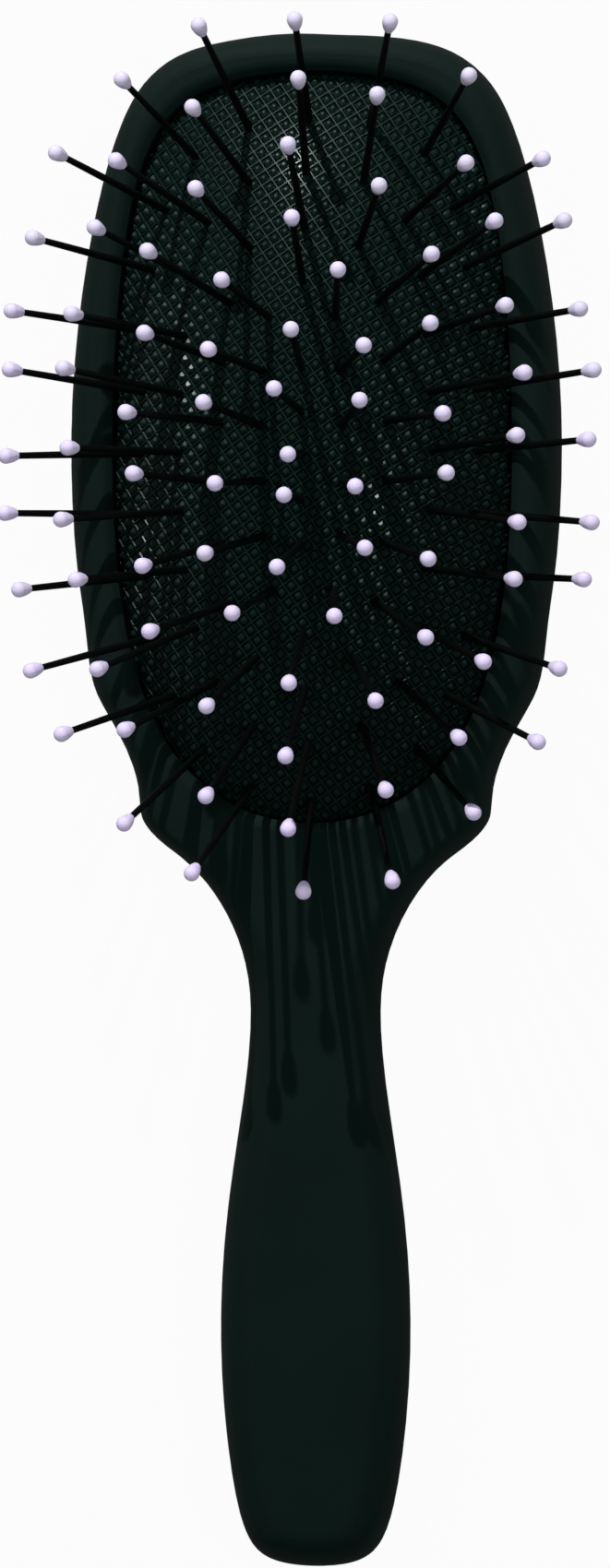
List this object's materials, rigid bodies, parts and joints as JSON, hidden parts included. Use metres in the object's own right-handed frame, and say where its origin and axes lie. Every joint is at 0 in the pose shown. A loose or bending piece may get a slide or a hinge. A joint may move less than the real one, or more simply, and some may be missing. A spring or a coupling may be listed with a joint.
{
  "type": "detangling brush",
  "caption": "Cushioned detangling hair brush: long ball-tipped pins stand out of a domed rubber cushion clamped in an oval head with a slim handle.",
  "frame": {"origin": "point on the flat back, under the middle of the cushion", "axes": "+Y from the handle to the far end of the head, +Z out of the cushion on the side with the pins, +X to the right seen from that side"},
  "size_m": [0.0901, 0.2352, 0.0545],
  "materials": {
    "shell": "soft-touch matte black",
    "clamp": "plain moulded black",
    "cushion": "satin black rubber with a fine waffle",
    "pins": "satin black nylon",
    "tips": "glossy pale lavender"
  },
  "bodies": {
    "shell": {"front_shell": "shell", "back_shell": "shell", "clamp_ring": "clamp"},
    "cushion": {"cushion": "cushion"},
    "group_outer_far": {"pins_outer_far": "pins", "tips_outer_far": "tips"},
    "group_outer_right": {"pins_outer_right": "pins", "tips_outer_right": "tips"},
    "group_outer_near": {"pins_outer_near": "pins", "tips_outer_near": "tips"},
    "group_outer_left": {"pins_outer_left": "pins", "tips_outer_left": "tips"},
    "group_second_far": {"pins_second_far": "pins", "tips_second_far": "tips"},
    "group_second_right": {"pins_second_right": "pins", "tips_second_right": "tips"},
    "group_second_near": {"pins_second_near": "pins", "tips_second_near": "tips"},
    "group_second_left": {"pins_second_left": "pins", "tips_second_left": "tips"},
    "group_third_far": {"pins_third_far": "pins", "tips_third_far": "tips"},
    "group_third_right": {"pins_third_right": "pins", "tips_third_right": "tips"},
    "group_third_near": {"pins_third_near": "pins", "tips_third_near": "tips"},
    "group_third_left": {"pins_third_left": "pins", "tips_third_left": "tips"},
    "group_inner_far": {"pins_inner_far": "pins", "tips_inner_far": "tips"},
    "group_inner_right": {"pins_inner_right": "pins", "tips_inner_right": "tips"},
    "group_inner_near": {"pins_inner_near": "pins", "tips_inner_near": "tips"},
    "group_inner_left": {"pins_inner_left": "pins", "tips_inner_left": "tips"},
    "group_middle": {"pins_middle": "pins", "tips_middle": "tips"}
  },
  "joints": [
    {"name": "cushion_press", "type": "slide", "parent": "shell", "child": "cushion", "axis": [0, 0, -1], "range_m": [0, 0.0025], "stiffness_N_per_m": 2000, "springref_m": -0.0005, "deforming": ["cushion"]},
    {"name": "sway_outer_far", "type": "hinge", "parent": "cushion", "child": "group_outer_far", "pos_m": [0, 0.04673, 0.01602], "axis": [-1, 0, 0], "range_deg": [-8, 8], "stiffness_Nm_per_rad": 0.05},
    {"name": "sway_outer_right", "type": "hinge", "parent": "cushion", "child": "group_outer_right", "pos_m": [0.02377, -0.00099, 0.01654], "axis": [0, 1, 0], "range_deg": [-8, 8], "stiffness_Nm_per_rad": 0.05},
    {"name": "sway_outer_near", "type": "hinge", "parent": "cushion", "child": "group_outer_near", "pos_m": [0, -0.04966, 0.01414], "axis": [1, 0, 0], "range_deg": [-8, 5], "stiffness_Nm_per_rad": 0.05},
    {"name": "sway_outer_left", "type": "hinge", "parent": "cushion", "child": "group_outer_left", "pos_m": [-0.02377, -0.00099, 0.01654], "axis": [0, -1, 0], "range_deg": [-8, 8], "stiffness_Nm_per_rad": 0.05},
    {"name": "sway_second_far", "type": "hinge", "parent": "cushion", "child": "group_second_far", "pos_m": [0, 0.03988, 0.02035], "axis": [-1, 0, 0], "range_deg": [-8, 8], "stiffness_Nm_per_rad": 0.05},
    {"name": "sway_second_right", "type": "hinge", "parent": "cushion", "child": "group_second_right", "pos_m": [0.01725, -0.00125, 0.02146], "axis": [0, 1, 0], "range_deg": [-8, 8], "stiffness_Nm_per_rad": 0.05},
    {"name": "sway_second_near", "type": "hinge", "parent": "cushion", "child": "group_second_near", "pos_m": [0, -0.04343, 0.01874], "axis": [1, 0, 0], "range_deg": [-8, 8], "stiffness_Nm_per_rad": 0.05},
    {"name": "sway_second_left", "type": "hinge", "parent": "cushion", "child": "group_second_left", "pos_m": [-0.01725, -0.00125, 0.02146], "axis": [0, -1, 0], "range_deg": [-8, 8], "stiffness_Nm_per_rad": 0.05},
    {"name": "sway_third_far", "type": "hinge", "parent": "cushion", "child": "group_third_far", "pos_m": [0, 0.03039, 0.02369], "axis": [-1, 0, 0], "range_deg": [-8, 8], "stiffness_Nm_per_rad": 0.05},
    {"name": "sway_third_right", "type": "hinge", "parent": "cushion", "child": "group_third_right", "pos_m": [0.01183, -0.00155, 0.02532], "axis": [0, 1, 0], "range_deg": [-8, 8], "stiffness_Nm_per_rad": 0.05},
    {"name": "sway_third_near", "type": "hinge", "parent": "cushion", "child": "group_third_near", "pos_m": [0, -0.03385, 0.02266], "axis": [1, 0, 0], "range_deg": [-8, 8], "stiffness_Nm_per_rad": 0.05},
    {"name": "sway_third_left", "type": "hinge", "parent": "cushion", "child": "group_third_left", "pos_m": [-0.01183, -0.00155, 0.02532], "axis": [0, -1, 0], "range_deg": [-8, 8], "stiffness_Nm_per_rad": 0.05},
    {"name": "sway_inner_far", "type": "hinge", "parent": "cushion", "child": "group_inner_far", "pos_m": [0, 0.02037, 0.02646], "axis": [-1, 0, 0], "range_deg": [-8, 8], "stiffness_Nm_per_rad": 0.05},
    {"name": "sway_inner_right", "type": "hinge", "parent": "cushion", "child": "group_inner_right", "pos_m": [0.00592, -0.00187, 0.02767], "axis": [0, 1, 0], "range_deg": [-8, 8], "stiffness_Nm_per_rad": 0.05},
    {"name": "sway_inner_near", "type": "hinge", "parent": "cushion", "child": "group_inner_near", "pos_m": [0, -0.02429, 0.02567], "axis": [1, 0, 0], "range_deg": [-8, 8], "stiffness_Nm_per_rad": 0.05},
    {"name": "sway_inner_left", "type": "hinge", "parent": "cushion", "child": "group_inner_left", "pos_m": [-0.00592, -0.00187, 0.02767], "axis": [0, -1, 0], "range_deg": [-8, 8], "stiffness_Nm_per_rad": 0.05},
    {"name": "sway_middle", "type": "hinge", "parent": "cushion", "child": "group_middle", "pos_m": [0, -0.0022, 0.02819], "axis": [0, 1, 0], "range_deg": [-8, 8], "stiffness_Nm_per_rad": 0.05}
  ]
}
